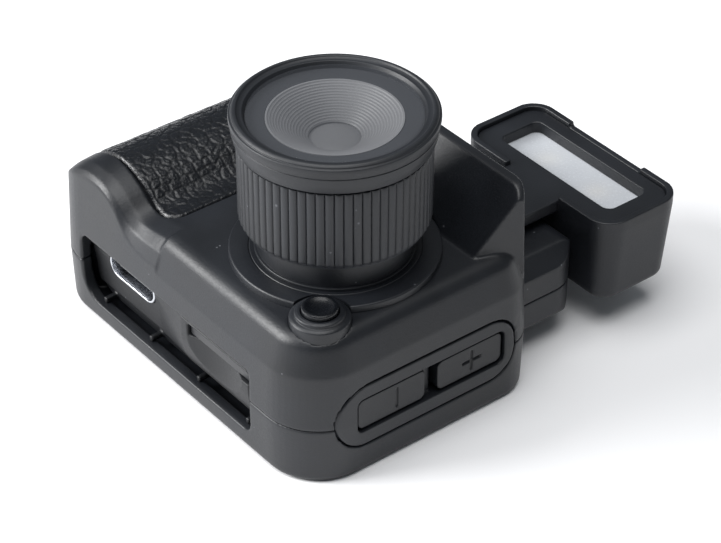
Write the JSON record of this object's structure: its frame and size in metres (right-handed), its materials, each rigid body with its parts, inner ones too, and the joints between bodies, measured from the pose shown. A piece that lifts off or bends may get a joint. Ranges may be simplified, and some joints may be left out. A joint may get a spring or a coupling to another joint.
{
  "type": "camera",
  "caption": "Keyring-size digital camera lying lens-up: black moulded body, leather grip, ribbed lens, two side keys, card and USB bay, sliding white fill lamp",
  "frame": {"origin": "on the lens axis, in the rear rest plane", "axes": "+Z along the lens axis out of the front, +Y to the camera's top and lamp, +X to the side with the two keys"},
  "size_m": [0.0498, 0.0554, 0.0367],
  "materials": {
    "shell": "moulded satin charcoal-black ABS",
    "leather": "pebbled glossy black leatherette",
    "rib": "ribbed matte black",
    "key": "moulded black keys",
    "button": "semi-gloss black",
    "chrome": "bright plated",
    "steel": "plain steel",
    "insert": "grey moulded",
    "card": "moulded card",
    "mask": "flat black",
    "cone": "stepped grey baffle",
    "lens": "clear",
    "screen": "glossy black window",
    "board": "green circuit board",
    "part": "black electronic part",
    "cell": "foil pouch cell",
    "diffuser": "milky white diffuser",
    "led": "warm white chips"
  },
  "bodies": {
    "body": {"front_shell": "shell", "rear_shell": "shell", "grip_pad": "leather", "port_panel": "shell", "key_bezel": "shell", "release_base": "shell", "lens_flange": "shell", "lens_barrel": "shell", "lens_head": "shell", "front_glass": "lens", "mask_ring": "mask", "baffle_cone": "cone", "front_element": "lens", "filter_glass": "lens", "image_sensor": "part", "sensor_board": "board", "card_socket": "steel", "main_board": "board", "usb_shell": "chrome", "usb_tongue": "insert", "battery": "cell", "lcd_module": "part", "screen_window": "screen", "speaker": "part", "key_board": "board", "key_switches": "part", "release_switch": "part", "release_board": "board", "rear_switches": "insert", "shutter_switch": "part", "shutter_board": "board", "shell_screws": "steel", "lamp_guide": "insert", "lamp_driver": "board"},
    "lamp": {"lamp_housing": "shell", "lamp_plate": "shell", "lamp_diffuser": "diffuser", "lamp_reflector": "insert", "led_board": "board", "leds": "led", "heat_block": "steel"},
    "focus": {"focus_ring": "rib"},
    "cell": {"lens_cell": "mask", "rear_element": "lens"},
    "release": {"release_button": "button"},
    "minus": {"minus_key": "key"},
    "plus": {"plus_key": "key"},
    "shutter": {"shutter_button": "chrome"},
    "menu": {"menu_button": "key"},
    "play": {"play_button": "key"},
    "power": {"power_button": "key"},
    "card": {"memory_card": "card"}
  },
  "joints": [
    {"name": "lamp_slide", "type": "slide", "parent": "body", "child": "lamp", "axis": [0, 1, 0], "range_m": [0, 0.0055]},
    {"name": "focus_turn", "type": "hinge", "parent": "body", "child": "focus", "pos_m": [0, 0, 0.0279], "axis": [0, 0, 1], "range_deg": [-60, 60]},
    {"name": "cell_slide", "type": "slide", "parent": "body", "child": "cell", "axis": [0, 0, 1], "range_m": [-0.0006, 0.0006]},
    {"name": "release_press", "type": "slide", "parent": "body", "child": "release", "axis": [0, 0, -1], "range_m": [0, 0.0005], "stiffness_N_per_m": 400},
    {"name": "minus_press", "type": "slide", "parent": "body", "child": "minus", "axis": [-1, 0, 0], "range_m": [0, 0.0004], "stiffness_N_per_m": 400},
    {"name": "plus_press", "type": "slide", "parent": "body", "child": "plus", "axis": [-1, 0, 0], "range_m": [0, 0.0004], "stiffness_N_per_m": 400},
    {"name": "shutter_press", "type": "slide", "parent": "body", "child": "shutter", "axis": [0, -1, 0], "range_m": [0, 0.0005], "stiffness_N_per_m": 400},
    {"name": "menu_press", "type": "slide", "parent": "body", "child": "menu", "axis": [0, 0, 1], "range_m": [0, 0.0004], "stiffness_N_per_m": 400},
    {"name": "play_press", "type": "slide", "parent": "body", "child": "play", "axis": [0, 0, 1], "range_m": [0, 0.0004], "stiffness_N_per_m": 400},
    {"name": "power_press", "type": "slide", "parent": "body", "child": "power", "axis": [0, 0, 1], "range_m": [0, 0.0004], "stiffness_N_per_m": 400},
    {"name": "card_slide", "type": "slide", "parent": "body", "child": "card", "axis": [0, -1, 0], "range_m": [0, 0.004]}
  ],
  "couplings": [
    {"joint": "cell_slide", "follows": "focus_turn", "m_per_rad": 0.000573}
  ]
}
